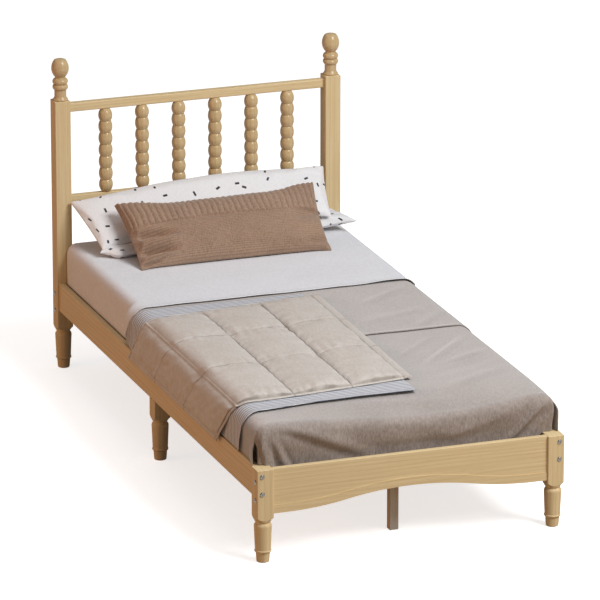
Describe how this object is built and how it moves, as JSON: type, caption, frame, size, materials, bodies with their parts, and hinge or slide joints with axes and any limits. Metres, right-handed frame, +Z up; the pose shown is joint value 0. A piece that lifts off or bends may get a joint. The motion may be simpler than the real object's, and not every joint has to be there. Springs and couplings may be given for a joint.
{
  "type": "platform bed",
  "caption": "Single wooden platform bed with a bobbin-turned spindle headboard, turned feet and an arched footboard, dressed with mattress, blanket, quilted throw and pillows.",
  "frame": {"origin": "on the floor under the centre of the bed", "axes": "+Y along the bed to the head end, +X to the right seen from the foot end, +Z up"},
  "size_m": [0.991, 2.026, 1.0495],
  "materials": {
    "lacquered_wood": "satin lacquer",
    "plain_wood": "planed, unlacquered",
    "steel": "zinc plated",
    "mattress_cover": "woven ticking",
    "white_cotton": "plain weave",
    "taupe_blanket": "heathered weave",
    "striped_cotton": "fine woven stripe",
    "quilted_cotton": "quilted",
    "brown_knit": "ribbed and knitted"
  },
  "bodies": {
    "root": {"beam_cradle_foot": "plain_wood", "beam_cradle_head": "plain_wood", "blanket": "taupe_blanket", "centre_beam": "plain_wood", "centre_leg_foot": "plain_wood", "centre_leg_head": "plain_wood", "centre_leg_middle": "plain_wood", "centre_leg_studs": "steel", "corner_barrel_nuts": "steel", "corner_bolts": "steel", "end_rail_barrel_nuts": "steel", "end_rail_bolts": "steel", "finial_left": "lacquered_wood", "finial_right": "lacquered_wood", "foot_post_left": "lacquered_wood", "foot_post_right": "lacquered_wood", "footboard": "lacquered_wood", "head_end_rail": "lacquered_wood", "head_post_left": "lacquered_wood", "head_post_right": "lacquered_wood", "headboard_lower_rail": "lacquered_wood", "headboard_top_rail": "lacquered_wood", "ledger_left_foot": "plain_wood", "ledger_left_head": "plain_wood", "ledger_right_foot": "plain_wood", "ledger_right_head": "plain_wood", "mattress": "mattress_cover", "mid_leg_bolts": "steel", "mid_leg_left": "lacquered_wood", "mid_leg_right": "lacquered_wood", "pillow_back": "white_cotton", "pillow_brown": "brown_knit", "pillow_flat": "white_cotton", "quilted_throw": "quilted_cotton", "side_rail_left": "lacquered_wood", "side_rail_right": "lacquered_wood", "slat_01": "plain_wood", "slat_02": "plain_wood", "slat_03": "plain_wood", "slat_04": "plain_wood", "slat_05": "plain_wood", "slat_06": "plain_wood", "slat_07": "plain_wood", "slat_08": "plain_wood", "slat_09": "plain_wood", "slat_10": "plain_wood", "slat_11": "plain_wood", "slat_12": "plain_wood", "slat_screws": "steel", "spindle_1": "lacquered_wood", "spindle_2": "lacquered_wood", "spindle_3": "lacquered_wood", "spindle_4": "lacquered_wood", "spindle_5": "lacquered_wood", "spindle_6": "lacquered_wood", "striped_sheet": "striped_cotton", "support_screws": "steel", "white_sheet": "white_cotton"}
  },
  "joints": []
}
